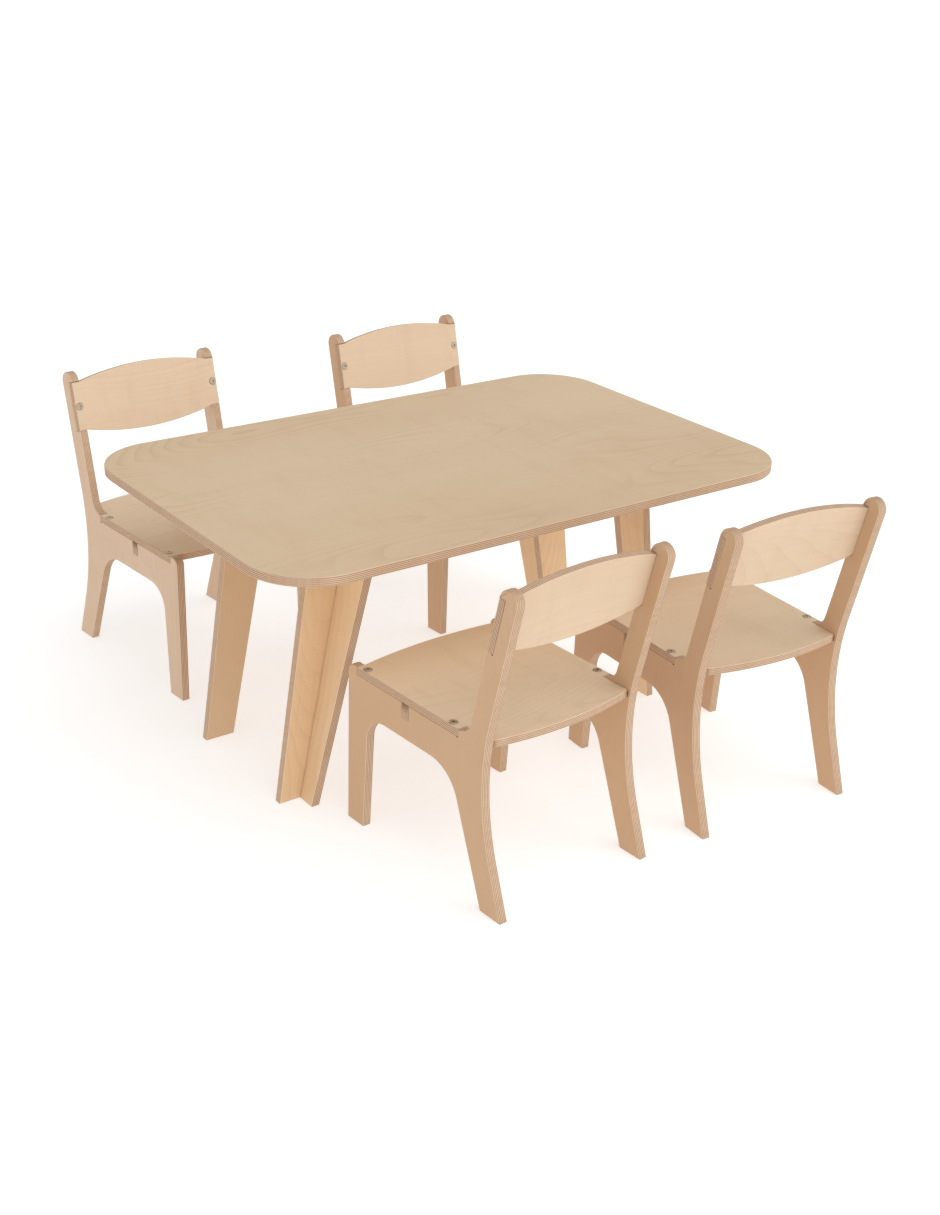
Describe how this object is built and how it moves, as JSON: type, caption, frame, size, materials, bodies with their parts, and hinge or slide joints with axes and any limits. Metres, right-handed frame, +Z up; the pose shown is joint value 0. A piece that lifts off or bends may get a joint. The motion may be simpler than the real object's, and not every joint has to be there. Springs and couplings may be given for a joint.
{
  "type": "kids table and chairs",
  "caption": "Low rectangular plywood play table with L-shaped splayed legs, and small matching chairs that slide in and out from it.",
  "frame": {"origin": "on the floor, under the middle of the whole set's bounding box", "axes": "+Z up, +X along the table towards its right end, +Y across the table away from the front chairs"},
  "size_m": [0.98, 1.2422, 0.5059],
  "materials": {
    "table_top_birch": "clear-lacquered birch plywood, grain along the table",
    "leg_birch": "clear-lacquered birch plywood with ply layers on the edges",
    "chair_side_birch": "clear-lacquered birch plywood with ply layers on the edges",
    "seat_birch": "clear-lacquered birch plywood, grain across the seat",
    "backrest_birch": "clear-lacquered birch plywood, grain across the backrest",
    "dowel_beech": "plain wood dowel",
    "steel": "zinc-plated steel",
    "brass": "plain brass"
  },
  "bodies": {
    "table": {"table_top": "table_top_birch", "leg_plate_screws": "steel", "leg_board_screws": "steel", "leg_dowels": "dowel_beech", "front_left_leg_main_board": "leg_birch", "front_left_leg_wing_board": "leg_birch", "front_left_leg_plate": "leg_birch", "front_right_leg_main_board": "leg_birch", "front_right_leg_wing_board": "leg_birch", "front_right_leg_plate": "leg_birch", "back_left_leg_main_board": "leg_birch", "back_left_leg_wing_board": "leg_birch", "back_left_leg_plate": "leg_birch", "back_right_leg_main_board": "leg_birch", "back_right_leg_wing_board": "leg_birch", "back_right_leg_plate": "leg_birch"},
    "front_left_chair": {"front_left_chair_left_side": "chair_side_birch", "front_left_chair_right_side": "chair_side_birch", "front_left_chair_seat": "seat_birch", "front_left_chair_backrest": "backrest_birch", "front_left_chair_seat_rail": "chair_side_birch", "front_left_chair_seat_bolts": "steel", "front_left_chair_backrest_bolts": "steel", "front_left_chair_seat_inserts": "brass", "front_left_chair_backrest_inserts": "brass"},
    "front_right_chair": {"front_right_chair_left_side": "chair_side_birch", "front_right_chair_right_side": "chair_side_birch", "front_right_chair_seat": "seat_birch", "front_right_chair_backrest": "backrest_birch", "front_right_chair_seat_rail": "chair_side_birch", "front_right_chair_seat_bolts": "steel", "front_right_chair_backrest_bolts": "steel", "front_right_chair_seat_inserts": "brass", "front_right_chair_backrest_inserts": "brass"},
    "back_left_chair": {"back_left_chair_left_side": "chair_side_birch", "back_left_chair_right_side": "chair_side_birch", "back_left_chair_seat": "seat_birch", "back_left_chair_backrest": "backrest_birch", "back_left_chair_seat_rail": "chair_side_birch", "back_left_chair_seat_bolts": "steel", "back_left_chair_backrest_bolts": "steel", "back_left_chair_seat_inserts": "brass", "back_left_chair_backrest_inserts": "brass"},
    "back_right_chair": {"back_right_chair_left_side": "chair_side_birch", "back_right_chair_right_side": "chair_side_birch", "back_right_chair_seat": "seat_birch", "back_right_chair_backrest": "backrest_birch", "back_right_chair_seat_rail": "chair_side_birch", "back_right_chair_seat_bolts": "steel", "back_right_chair_backrest_bolts": "steel", "back_right_chair_seat_inserts": "brass", "back_right_chair_backrest_inserts": "brass"}
  },
  "joints": [
    {"name": "front_left_chair_slide", "type": "slide", "parent": "table", "child": "front_left_chair", "axis": [0.061, -0.9981, 0], "range_m": [-0.015, 0.3]},
    {"name": "front_right_chair_slide", "type": "slide", "parent": "table", "child": "front_right_chair", "axis": [-0.0785, -0.9969, 0], "range_m": [-0.015, 0.3]},
    {"name": "back_left_chair_slide", "type": "slide", "parent": "table", "child": "back_left_chair", "axis": [-0.0785, 0.9969, 0], "range_m": [-0.05, 0.3]},
    {"name": "back_right_chair_slide", "type": "slide", "parent": "table", "child": "back_right_chair", "axis": [-0.0698, 0.9976, 0], "range_m": [-0.05, 0.3]}
  ]
}
